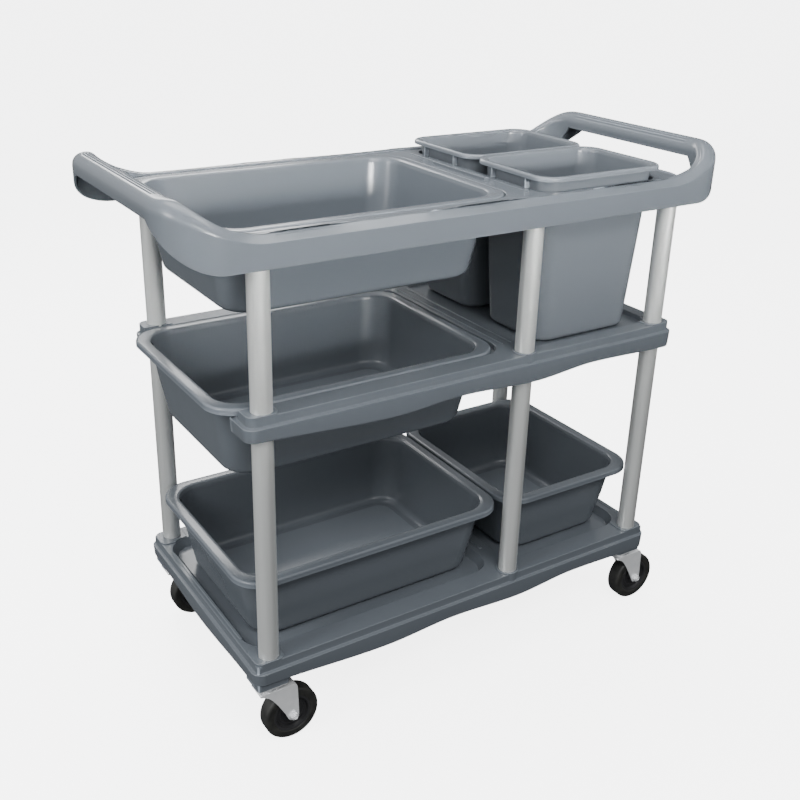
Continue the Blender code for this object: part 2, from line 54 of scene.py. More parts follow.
def middle_of(node):
    low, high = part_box(node)
    return [(a + b) / 2 for a, b in zip(low, high)]


def half_of(node):
    low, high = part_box(node)
    return [(b - a) / 2 for a, b in zip(low, high)]


POSTS = {place: tuple(middle_of(f"lower_tube_{place}")[:2]) for place in PLACES}
SHELF_HALF_X = SHELF_HIGH[0]
SHELF_HALF_Y = SHELF_HIGH[1]
HANDLE_HALF_X = BAND_HIGH[0]
HANDLE_TOP = BAND_HIGH[2]
TOP_BAND_LOW = BAND_LOW[2]

# ---------------- moulded sizes, metres
BLOCK_RISE = 0.0065             # the corner blocks above the deck, in the CAD
BLOCK_SHOWN = 0.0025            # and in the looks, where they blend into the deck
BLOCK_HALF = (0.030, 0.027)
BLOCK_CORNER = 0.0153
BOTTOM_TOP = SHELF_HIGH[2] - BLOCK_RISE
MIDDLE_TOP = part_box("middle_shelf")[1][2] - BLOCK_RISE
SHELF_CORNER = 0.022            # corner radius in plan
SHELF_DECK = 0.005              # deck thickness
SKIRT_WALL = 0.005
LIP_DROP = 0.018                # step from the deck down to the skirt
TOP_EDGE_INSET = 0.007
SKIRT_DEPTH = 0.053
# (x, rise of the skirt's lower edge) along the shelf
SKIRT_WAVES = ((-0.486, 0.010), (-0.20, -0.004), (-0.05, 0.004), (0.12, -0.004),
               (0.27, 0.0065), (0.47, 0.001))
END_SAG = 0.003                 # the end skirts hang lower in their middle
SOCKET_RADIUS = 0.0194
SOCKET_BOSS_RADIUS = 0.0245
SOCKET_DEPTH = 0.012
BOTTOM_BOSS_DROP = 0.020
MIDDLE_BOSS_DROP = 0.034
RECESS_DEPTH = 0.018
LARGE_RECESS = (-0.462, 0.078)
MEDIUM_RECESS = (0.136, 0.446)
BIN_RECESS = (0.128, 0.450)
RECESS_HALF_Y = 0.206
RECESS_FLARE = 0.009            # the recess walls lean out by this much
OPEN_END_HALF_Y = 0.200         # the middle shelf is open at the tub's end
PAN_WALL = 0.004
RIB_COUNT = 6
RIB_HALF = 0.0011

TOP_CREASE = 0.994
TOP_LEVEL = 1.003
TOP_DECK = 1.000
HANDLE_CORNER = 0.095
HANDLE_LOW = 1.027
HANDLE_CREASE = 1.045
HANDLE_WIDTH = 0.050
RAIL_WIDTH = 0.034
CROWN_INSET = 0.016
BAND_WALL = 0.005
RISE_START_X = 0.440
RISE_LENGTH = 0.190
DECK_SPAN = (-0.520, 0.503)
TOP_BOSS_LOW = 0.955
CREASE_WAVE = 0.0085            # the crown's edge weaves along the side rails
CREASE_PITCH = 0.355
CREASE_START = -0.19
CREASE_SHIFT = 0.0055
RIDGE_Y = (-0.088, 0.088)       # raised ridge between the tub and the bins
HANDLE_ROUND = 0.022            # rounding of the handle bars' outer edge
INNER_ROUND_START = 0.026       # their inner edge is round from this inset on
GROOVES = 5
GROOVE_DEPTH = 0.0024
GROOVE_INSETS = (0.0165, 0.0458)
GRIP_LEFT = (-0.155, 0.198)     # y ranges of the grooves along the handles
GRIP_RIGHT = (-0.165, 0.165)
GRIP_FADE = 0.006
SMOOTH_PANEL = (-0.004, 0.050)  # y range of the plain panel on the left handle
PANEL_FADE = 0.003

TUB_FLANGE = 0.0215
TUB_DRAFT = 0.0215
TUB_CORNER = 0.060
TUB_FOOT = 0.016                # rounding where the walls meet the floor
TUB_LIP = 0.013                 # depth of the turned-down rim
BIN_FLANGE = 0.0115
BIN_DRAFT = (0.022, 0.012)
BIN_CORNER = 0.040
BIN_FOOT = 0.012
BIN_LIP = 0.009
TAB_HALF = (0.0075, 0.0016)
TAB_SPREAD = 0.052
WALL = 0.003
TUBE_WALL = 0.0018
GAP = 0.0003
CUT_PAST = 0.05                 # how far a cutter runs past the surface
EDGE = 0.0018                   # rounding of the moulded edges

FORK_EYE = 0.0115               # round end of a fork leg, about the axle
FORK_SHEET = 0.0025
FORK_EDGE = 0.0009
PIN_HOLE = 0.0055
AXLE_HOLE = 0.0045
SCREW_INSET = 0.0065
RACE_BORE = 0.0165
TYRE_BORE = 0.0391
TYRE_ROUND = 0.0060
NUT_RADIUS = 0.0078
NUT_DEPTH = 0.0060
THREADS = 3
THREAD_PITCH = 0.0007

# ---------------- mesh helpers
LOOKS = bpy.data.collections.new("looks")
bpy.context.scene.collection.children.link(LOOKS)


def rounded_outline(half_x, half_y, radius, arc_steps=14, side_steps=(1, 1)):
    """Points round a rounded rectangle, anticlockwise from the rear right."""
    radius = max(radius, 0.0005)
    points = []
    inner_x, inner_y = half_x - radius, half_y - radius
    corners = ((1, 1), (-1, 1), (-1, -1), (1, -1))
    for index, (sx, sy) in enumerate(corners):
        start = index * math.pi / 2
        arc = [start + math.pi / 2 * k / arc_steps for k in range(arc_steps + 1)]
        points += [(sx * inner_x + radius * math.cos(a),
                    sy * inner_y + radius * math.sin(a)) for a in arc]
        next_sx, next_sy = corners[(index + 1) % 4]
        last = points[-1]
        turn = start + math.pi / 2
        first = (next_sx * inner_x + radius * math.cos(turn),
                 next_sy * inner_y + radius * math.sin(turn))
        steps = side_steps[index % 2]
        points += [(last[0] + (first[0] - last[0]) * k / steps,
                    last[1] + (first[1] - last[1]) * k / steps)
                   for k in range(1, steps)]
    return points


def loft(rings, capped=True):
    """Skin over rings of points; an uncapped one closes on its first ring."""
    bm = bmesh.new()
    rows = [[bm.verts.new(p) for p in ring] for ring in rings]
    pairs = list(zip(rows, rows[1:]))
    if not capped:
        pairs.append((rows[-1], rows[0]))
    for lower, upper in pairs:
        count = len(lower)
        for k in range(count):
            bm.faces.new((lower[k], lower[(k + 1) % count],
                          upper[(k + 1) % count], upper[k]))
    if capped:
        bm.faces.new(reversed(rows[0]))
        bm.faces.new(rows[-1])
    bmesh.ops.recalc_face_normals(bm, faces=bm.faces)
    return bm


def stack(half, radius, profile, centre=(0, 0), arc_steps=14, follow=1.0):
    """Upright rounded block from (inset, z) rows."""
    return loft([[(x + centre[0], y + centre[1], z)
                  for x, y in rounded_outline(half[0] - inset, half[1] - inset,
                                              radius - follow * inset, arc_steps)]
                 for inset, z in profile])


def quarter_turns(steps):
    return [math.pi / 2 * k / steps for k in range(steps + 1)]


def quarter(radius, steps):
    """(inset, rise) pairs up a quarter round, from its side to its top."""
    return [(radius * (1 - math.cos(a)), radius * math.sin(a))
            for a in quarter_turns(steps)]


def raised_block(half, radius, low, high, centre, edge, arc_steps=8):
    """Block with a rounded top edge."""
    rows = [(0.0, low)] + [(a, high - edge + b) for a, b in quarter(edge, 4)]
    return stack(half, radius, rows, centre, arc_steps)


def pocket(half, radius, floor, deck, centre, foot, lip, spread=0.0):
    """Cutter for a recess with a filleted floor and a rounded upper edge."""
    turns = quarter_turns(4)
    rows = [(foot * (1 - math.sin(a)), floor + foot * (1 - math.cos(a))) for a in turns]
    rows += [(-spread - lip * (1 - math.cos(a)), deck - lip + lip * math.sin(a))
             for a in turns]
    rows.append((-spread - lip, deck + CUT_PAST))
    return stack(half, radius, rows, centre)


def disc(radius, low, high, centre=(0, 0), segments=48, edge=0.0):
    """Upright cylinder, with a rounded top edge if edge is given."""
    rings = []
    rows = [(0.0, low)] + [(a, high - edge + b) for a, b in quarter(edge, 3)] \
        if edge else [(0.0, low), (0.0, high)]
    for inset, z in rows:
        rings.append([(centre[0] + (radius - inset) * math.cos(2 * math.pi * k / segments),
                       centre[1] + (radius - inset) * math.sin(2 * math.pi * k / segments),
                       z) for k in range(segments)])
    return loft(rings)


def make_object(name, bm):
    mesh = bpy.data.meshes.new(name)
    bm.to_mesh(mesh)
    bm.free()
    obj = bpy.data.objects.new(name, mesh)
    LOOKS.objects.link(obj)
    return obj


def carve(obj, steps):
    """Union or cut a list of (operation, bmesh) steps into an object, for good."""
    cutters = []
    for index, (operation, bm) in enumerate(steps):
        cutter = make_object(f"{obj.name}_step_{index}", bm)
        cutters.append(cutter)
        step = obj.modifiers.new(cutter.name, "BOOLEAN")
        step.object = cutter
        step.operation = operation
        step.solver = "EXACT"
    bpy.context.view_layer.update()
    done = bpy.data.meshes.new_from_object(
        obj.evaluated_get(bpy.context.evaluated_depsgraph_get()))
    obj.modifiers.clear()
    old = obj.data
    obj.data = done
    done.name = obj.name
    bpy.data.meshes.remove(old)
    for cutter in cutters:
        mesh = cutter.data
        bpy.data.objects.remove(cutter, do_unlink=True)
        bpy.data.meshes.remove(mesh)
    return obj


def finish_piece(obj, material, body, nodes=(), angle=32, weighted=True):
    """Shade, colour and attach one piece."""
    mesh = obj.data
    mesh.materials.clear()
    mesh.materials.append(material)
    mesh.shade_smooth()
    mesh.set_sharp_from_angle(angle=math.radians(angle))
    if weighted:
        normals = obj.modifiers.new("normals", "WEIGHTED_NORMAL")
        normals.keep_sharp = True
        normals.weight = 80
    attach(obj, body)
    if nodes:
        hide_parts(*nodes)
    return obj


def turned(name, profile, segments=48, centre=(0, 0, 0), axis="Z", closed=False):
    """A profile of (radius, height) rows spun about an axis."""
    bm = bmesh.new()
    rows = []
    for radius, height in profile:
        if radius < 1e-6:
            rows.append([bm.verts.new((0, 0, height))] * segments)
        else:
            rows.append([bm.verts.new((radius * math.cos(2 * math.pi * k / segments),
                                       radius * math.sin(2 * math.pi * k / segments),
                                       height)) for k in range(segments)])
    pairs = list(zip(rows, rows[1:]))
    if closed:
        pairs.append((rows[-1], rows[0]))
    for lower, upper in pairs:
        for k in range(segments):
            corner = []
            for v in (lower[k], lower[(k + 1) % segments],
                      upper[(k + 1) % segments], upper[k]):
                if v not in corner:
                    corner.append(v)
            if len(corner) > 2:
                bm.faces.new(corner)
    if axis == "Y":
        bmesh.ops.rotate(bm, verts=bm.verts, cent=(0, 0, 0),
                         matrix=Matrix.Rotation(math.pi / 2, 3, "X"))
    bmesh.ops.translate(bm, verts=bm.verts, vec=centre)
    bmesh.ops.recalc_face_normals(bm, faces=bm.faces)
    return make_object(name, bm)


def smooth(t):
    t = min(max(t, 0.0), 1.0)
    return t * t * (3 - 2 * t)


# ---------------- materials
class Recipe:
    """Short hand for a node material."""

    def __init__(self, name):
        self.mat = bpy.data.materials.new(name)
        self.mat.use_nodes = True
        self.tree = self.mat.node_tree
        self.shader = self.tree.nodes["Principled BSDF"]
        self.place = self.node("ShaderNodeTexCoord").outputs["Object"]

    def node(self, kind, **values):
        made = self.tree.nodes.new(kind)
        for key, value in values.items():
            setattr(made, key, value)
        return made

    def link(self, out, socket):
        self.tree.links.new(out, socket)

    def noise(self, scale, detail=3.0, rough=0.5, stretch=None):
        made = self.node("ShaderNodeTexNoise")
        made.inputs["Scale"].default_value = scale
        made.inputs["Detail"].default_value = detail
        made.inputs["Roughness"].default_value = rough
        source = self.place
        if stretch:
            mapping = self.node("ShaderNodeMapping")
            mapping.inputs["Scale"].default_value = stretch
            self.link(source, mapping.inputs["Vector"])
            source = mapping.outputs["Vector"]
        self.link(source, made.inputs["Vector"])
        return made.outputs["Fac"]

    def ramp(self, value, low, high, start=0.3, end=0.7):
        made = self.node("ShaderNodeMapRange")
        made.inputs["From Min"].default_value = start
        made.inputs["From Max"].default_value = end
        made.inputs["To Min"].default_value = low
        made.inputs["To Max"].default_value = high
        self.link(value, made.inputs["Value"])
        return made.outputs["Result"]

    def mix(self, amount, first, second):
        made = self.node("ShaderNodeMix", data_type="RGBA")
        for socket, value in ((made.inputs[0], amount), (made.inputs[6], first),
                              (made.inputs[7], second)):
            if isinstance(value, tuple):
                socket.default_value = (*value, 1.0)
            else:
                self.link(value, socket)
        return made.outputs[2]

    def edge(self, start, end, amount):
        """Grows from 0 to amount on convex edges."""
        point = self.node("ShaderNodeNewGeometry").outputs["Pointiness"]
        return self.ramp(point, 0.0, amount, start, end)

    def bump(self, height, strength, distance, under=None):
        made = self.node("ShaderNodeBump")
        made.inputs["Strength"].default_value = strength
        made.inputs["Distance"].default_value = distance
        self.link(height, made.inputs["Height"])
        if under is not None:
            self.link(under, made.inputs["Normal"])
        self.link(made.outputs["Normal"], self.shader.inputs["Normal"])
        return made.outputs["Normal"]

    def colour(self, out):
        self.link(out, self.shader.inputs["Base Color"])

    def roughness(self, out):
        self.link(out, self.shader.inputs["Roughness"])

    def set(self, **values):
        for key, value in values.items():
            self.shader.inputs[key.replace("_", " ")].default_value = value


def shade(base, share):
    return tuple(min(c * share, 1.0) for c in base)


def moulded_plastic(name, base, gloss, grain):
    """Injection moulded polypropylene: slight flow marks, fine texture, and a painted
    highlight on its convex edges.
    """
    r = Recipe(name)
    r.set(Metallic=0.0, Specular_IOR_Level=0.5)
    cloud = r.noise(4.0, 1.0, 0.4)
    tone = r.mix(r.ramp(cloud, 0.0, 1.0), shade(base, 0.98), shade(base, 1.02))
    flow = r.noise(9.0, 1.0, 0.4, (0.35, 3.0, 2.2))
    tone = r.mix(r.ramp(flow, 0.0, 0.05, 0.40, 0.80), tone, shade(base, 1.35))
    # painted highlight: convex edges lightened to four times the base grey, standing in for
    # light caught by the rounded edges
    tone = r.mix(r.edge(0.53, 0.64, 0.75), tone, shade(base, 4.0))
    r.colour(tone)
    rubbed = r.noise(14.0, 1.0, 0.4)
    r.roughness(r.ramp(rubbed, gloss - 0.01, gloss + 0.02))
    fine = r.bump(r.noise(420.0, 1.0, 0.5), grain * 0.3, 0.0002)
    r.bump(r.noise(12.0, 0.0, 0.4), 0.04, 0.003, under=fine)
    return r.mat


def brushed_metal(name, base, gloss, grain, stretch, metallic, dirt):
    """Metal with a directional grain and slightly cloudy gloss."""
    r = Recipe(name)
    r.set(Metallic=metallic)
    lines = r.noise(60.0, 4.0, 0.6, stretch)
    cloud = r.noise(18.0, 4.0, 0.55)
    tone = r.mix(r.ramp(lines, 0.0, 1.0), shade(base, 0.93), shade(base, 1.05))
    tone = r.mix(r.ramp(cloud, 0.0, dirt, 0.5, 0.8), tone, shade(base, 0.72))
    r.colour(tone)
    r.roughness(r.ramp(lines, gloss - 0.05, gloss + 0.08))
    r.bump(lines, grain, 0.0003)
    return r.mat


def rubber(name, base, gloss, scuff):
    """Dull black rubber or plastic, scuffed in patches and along its edges."""
    r = Recipe(name)
    r.set(Metallic=0.0)
    cloud = r.noise(45.0, 5.0, 0.65)
    tone = r.mix(r.ramp(cloud, 0.0, 1.0, 0.4, 0.7), base, scuff)
    tone = r.mix(r.edge(0.51, 0.58, 0.35), tone, shade(scuff, 2.2))
    r.colour(tone)
    r.roughness(r.ramp(cloud, gloss - 0.06, gloss + 0.12))
    fine = r.bump(r.noise(700.0, 3.0, 0.6), 0.18, 0.0005)
    r.bump(cloud, 0.12, 0.0008, under=fine)
    return r.mat


GREY = (0.104, 0.117, 0.132)
BIN_GREY = (0.116, 0.129, 0.144)
ALONG_Z = (1.0, 1.0, 0.03)
EVEN = (1.0, 1.0, 1.0)
SHELF_MAT = moulded_plastic("shelf_grey_plastic", GREY, 0.235, 0.08)
TUB_MAT = moulded_plastic("tub_grey_plastic", GREY, 0.240, 0.10)
BIN_MAT = moulded_plastic("bin_grey_plastic", BIN_GREY, 0.245, 0.12)
TUBE_MAT = brushed_metal("satin_aluminium", (0.90, 0.91, 0.88), 0.33, 0.05, ALONG_Z,
                         metallic=0.72, dirt=0.05)
ZINC_MAT = brushed_metal("bright_zinc", (0.96, 0.97, 0.98), 0.17, 0.05, EVEN,
                         metallic=0.45, dirt=0.12)
CHROME_MAT = brushed_metal("plated_race", (0.74, 0.75, 0.77), 0.16, 0.03, EVEN,
                           metallic=1.0, dirt=0.3)
TYRE_MAT = rubber("tyre_rubber_black", (0.012, 0.012, 0.011), 0.50, (0.028, 0.028, 0.024))
HUB_MAT = rubber("hub_black_plastic", (0.014, 0.014, 0.015), 0.36, (0.022, 0.022, 0.023))


# ---------------- lower shelves
def skirt_rise(x):
    """Rise of the scalloped lower edge along a long side."""
    if x <= SKIRT_WAVES[0][0]:
        return SKIRT_WAVES[0][1]
    for (x0, rise0), (x1, rise1) in zip(SKIRT_WAVES, SKIRT_WAVES[1:]):
        if x <= x1:
            return rise0 + (rise1 - rise0) * smooth((x - x0) / (x1 - x0))
    return SKIRT_WAVES[-1][1]


def skirt_edge(x, y, top):
    """Height of the skirt's lower edge; the ends sag towards their middle."""
    lift = skirt_rise(x)
    inward = smooth(1 - abs(y) / (SHELF_HALF_Y - SHELF_CORNER))
    return top - SKIRT_DEPTH + lift - (lift + END_SAG) * inward


def shelf_shell(name, top):
    """Deck, stepped lip and scalloped skirt with rounded edges."""
    under = top - SHELF_DECK
    rows = [(TOP_EDGE_INSET + a, top - EDGE + b, 0) for a, b in reversed(quarter(EDGE, 4))]
    rows += [(TOP_EDGE_INSET, top - LIP_DROP + 0.0040, 0),
             (TOP_EDGE_INSET - 0.0006, top - LIP_DROP + 0.0022, 0),
             (TOP_EDGE_INSET - 0.0020, top - LIP_DROP + 0.0012, 0)]
    rows += [(a, top - LIP_DROP + 0.0006 - EDGE + b, 0)
             for a, b in reversed(quarter(EDGE, 4))]
    rows += [(0.0004, 0.0180, 1), (0.0016, 0.0030, 1), (0.0020, 0.0010, 1),
             (0.0030, 0.0, 1), (0.0030 + SKIRT_WALL - 0.002, 0.0, 1),
             (0.0030 + SKIRT_WALL - 0.001, 0.001, 1)]
    rows += [(TOP_EDGE_INSET + SKIRT_WALL, under - 0.004, 0),
             (TOP_EDGE_INSET + SKIRT_WALL + 0.004, under, 0)]
    rings = []
    for inset, height, from_edge in rows:
        outline = rounded_outline(SHELF_HALF_X - inset, SHELF_HALF_Y - inset,
                                  SHELF_CORNER - inset, 10, (96, 28))
        rings.append([(x, y, skirt_edge(x, y, top) + height if from_edge else height)
                      for x, y in outline])
    return make_object(name, loft(rings))


def corner_block(sx, sy, top, under):
    reach_x = (SHELF_HALF_X - TOP_EDGE_INSET + GAP - BLOCK_HALF[0]) * sx
    reach_y = (SHELF_HALF_Y - TOP_EDGE_INSET + GAP - BLOCK_HALF[1]) * sy
    return raised_block(BLOCK_HALF, BLOCK_CORNER, under, top + BLOCK_SHOWN,
                        (reach_x, reach_y), 0.0016)


def post_steps(top, boss_low, bore_up):
    """Corner blocks, middle bosses and the sockets the tubes stand in."""
    steps = []
    for place, (x, y) in POSTS.items():
        sx, sy = math.copysign(1, x), math.copysign(1, y)
        if "middle" in place:
            steps.append(("UNION", disc(SOCKET_BOSS_RADIUS - 0.001, boss_low,
                                        top + BLOCK_SHOWN, (x, y), 48, 0.0015)))
        else:
            steps.append(("UNION", corner_block(sx, sy, top, boss_low)))
    for centre in POSTS.values():
        steps.append(("DIFFERENCE", disc(SOCKET_RADIUS, top + BLOCK_RISE - SOCKET_DEPTH,
                                         top + CUT_PAST, centre)))
        if bore_up:
            steps.append(("DIFFERENCE", disc(SOCKET_RADIUS, boss_low - CUT_PAST,
                                             boss_low + SOCKET_DEPTH, centre)))
    return steps


def span_of(x_range, half_y, grow=0.0):
    """(half sizes, centre) of a rectangle across the shelf's middle line."""
    return (((x_range[1] - x_range[0]) / 2 + grow, half_y + grow),
            ((x_range[0] + x_range[1]) / 2, 0.0))


def pan(x_range, half_y, grow, radius, floor, bevel, top, flare=0.0):
    """Step that adds a recess's floor and walls under the deck."""
    half, centre = span_of(x_range, half_y, grow)
    low = floor - PAN_WALL
    return ("UNION", stack(half, radius, [(flare + bevel, low), (flare, low + bevel),
                                          (0.0, top)], centre))


def bar(x_range, y_range, low, high, edge=0.0012, radius=None):
    """Straight raised bead or rib with rounded upper edges."""
    half = ((x_range[1] - x_range[0]) / 2, (y_range[1] - y_range[0]) / 2)
    centre = ((x_range[0] + x_range[1]) / 2, (y_range[0] + y_range[1]) / 2)
    radius = radius or min(half) * 0.95
    return raised_block(half, radius, low, high, centre, min(edge, radius * 0.8), 6)


def underside_ribs(x_range, y_range, low, high):
    """Stiffening ribs along the length, under a floor."""
    made = []
    for k in range(RIB_COUNT):
        y = y_range[0] + (y_range[1] - y_range[0]) * (k + 0.5) / RIB_COUNT
        half = ((x_range[1] - x_range[0]) / 2, RIB_HALF)
        made.append(("UNION", stack(half, 0.001, [(0.0, low), (0.0, high)],
                                    ((x_range[0] + x_range[1]) / 2, y), 2)))
    return made


def bottom_shelf():
    top = BOTTOM_TOP
    shelf = shelf_shell("bottom_shelf_look", top)
    floor = top - RECESS_DEPTH
    steps = []
    for span in (LARGE_RECESS, MEDIUM_RECESS):
        steps.append(pan(span, RECESS_HALF_Y, PAN_WALL + RECESS_FLARE, 0.040, floor, 0.004,
                         top - SHELF_DECK / 2, RECESS_FLARE))
    for place in CORNERS:
        plate = f"plate_{place}"
        x, y, _ = middle_of(plate)
        half = (half_of(plate)[0] + 0.003, half_of(plate)[1] + 0.002)
        pad_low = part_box(plate)[1][2] + GAP
        rows = [(0.001, pad_low), (0.0, pad_low + 0.001), (0.0, top - SHELF_DECK / 2)]
        steps.append(("UNION", stack(half, 0.008, rows, (x, y), 6)))
        steps.append(("DIFFERENCE", disc(0.0115, pad_low - 0.01, pad_low + 0.0057,
                                         (x, y), 32)))
    steps += underside_ribs((-0.440, 0.440), (-0.200, 0.200), floor - 0.012,
                            floor - PAN_WALL / 2)
    steps += post_steps(top, top - BOTTOM_BOSS_DROP, False)
    for span in (LARGE_RECESS, MEDIUM_RECESS):
        half, centre = span_of(span, RECESS_HALF_Y)
        steps.append(("DIFFERENCE", pocket(half, 0.036, floor, top, centre, 0.004, EDGE,
                                           RECESS_FLARE)))
    x = (LARGE_RECESS[1] + MEDIUM_RECESS[0]) / 2
    steps.append(("UNION", bar((x - 0.004, x + 0.004), (-0.150, 0.150), top - 0.002,
                               top + 0.0015)))
    for sx in (-1, 1):
        x = sx * (SHELF_HALF_X - 0.0165)
        steps.append(("UNION", bar((x - 0.003, x + 0.003), (-0.170, 0.170), top - 0.002,
                                   top + 0.0014)))
    carve(shelf, steps)
    return finish_piece(shelf, SHELF_MAT, "frame", ("bottom_shelf",))


def middle_shelf():
    top = MIDDLE_TOP
    shelf = shelf_shell("middle_shelf_look", top)
    tub_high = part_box("middle_tub")[1]
    bin_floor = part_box("front_bin")[0][2]
    rebate_floor = tub_high[2] - TUB_LIP - GAP
    half_y = tub_high[1]
    rim_end = tub_high[0] + 0.004
    opening_end = tub_high[0] - TUB_FLANGE + 0.0015
    in_deck = top - SHELF_DECK / 2
    steps = [pan((-0.478, rim_end), half_y + 0.004, PAN_WALL, 0.02, rebate_floor, 0.002,
                 in_deck),
             pan(BIN_RECESS, 0.227, PAN_WALL, 0.03, bin_floor - GAP, 0.004, in_deck)]
    steps += underside_ribs((0.100, 0.446), (-0.215, 0.215), bin_floor - 0.016,
                            bin_floor - GAP - PAN_WALL / 2)
    steps += post_steps(top, top - MIDDLE_BOSS_DROP, True)
    half, centre = span_of((-0.60, rim_end), half_y + 0.003)
    steps.append(("DIFFERENCE", pocket(half, 0.05, rebate_floor, top, centre, 0.002,
                                       EDGE)))
    half, centre = span_of((-0.70, opening_end), OPEN_END_HALF_Y)
    steps.append(("DIFFERENCE", stack(half, 0.045, [(0.0, top - 0.1), (0.0, top + 0.03)],
                                      centre)))
    half, centre = span_of(BIN_RECESS, 0.226)
    steps.append(("DIFFERENCE", pocket(half, 0.03, bin_floor - GAP, top, centre, 0.003,
                                       0.0022, 0.002)))
    x = (rim_end + BIN_RECESS[0]) / 2
    for side in (-1, 1):
        edge_x = x + side * 0.0105
        steps.append(("UNION", bar((edge_x - 0.0022, edge_x + 0.0022), (-0.190, 0.190),
                                   top - 0.002, top + 0.0018)))
    carve(shelf, steps)
    return finish_piece(shelf, SHELF_MAT, "frame", ("middle_shelf",))


# ---------------- top shelf
def turn_of(outer):
    """Distance round a handle's corner from the straight rail, in radians."""
    straight = HANDLE_HALF_X - HANDLE_CORNER
    x, y = abs(outer[0]), abs(outer[1])
    if x <= straight:
        return 0.0
    return math.atan2(x - straight, max(y - (SHELF_HALF_Y - HANDLE_CORNER), 0.0))


def rise(outer):
    """How far a point has risen from the rail, 0, to the handle, 1."""
    straight = HANDLE_HALF_X - HANDLE_CORNER
    run = min(abs(outer[0]), straight) - RISE_START_X + HANDLE_CORNER * turn_of(outer)
    return smooth(run / RISE_LENGTH)


def low_edge(outer):
    return TOP_BAND_LOW + (HANDLE_LOW - TOP_BAND_LOW) * (1 - math.cos(turn_of(outer)))


def band_outline(inset, sections, arc_steps):
    """The band's plan at an inset; the side rails are narrower than the handles."""
    narrow = (RAIL_WIDTH - CROWN_INSET) / (HANDLE_WIDTH - CROWN_INSET)
    inset_y = min(inset, CROWN_INSET) + max(inset - CROWN_INSET, 0.0) * narrow
    return rounded_outline(HANDLE_HALF_X - inset, SHELF_HALF_Y - inset_y,
                           HANDLE_CORNER - inset * 0.9, arc_steps, sections)


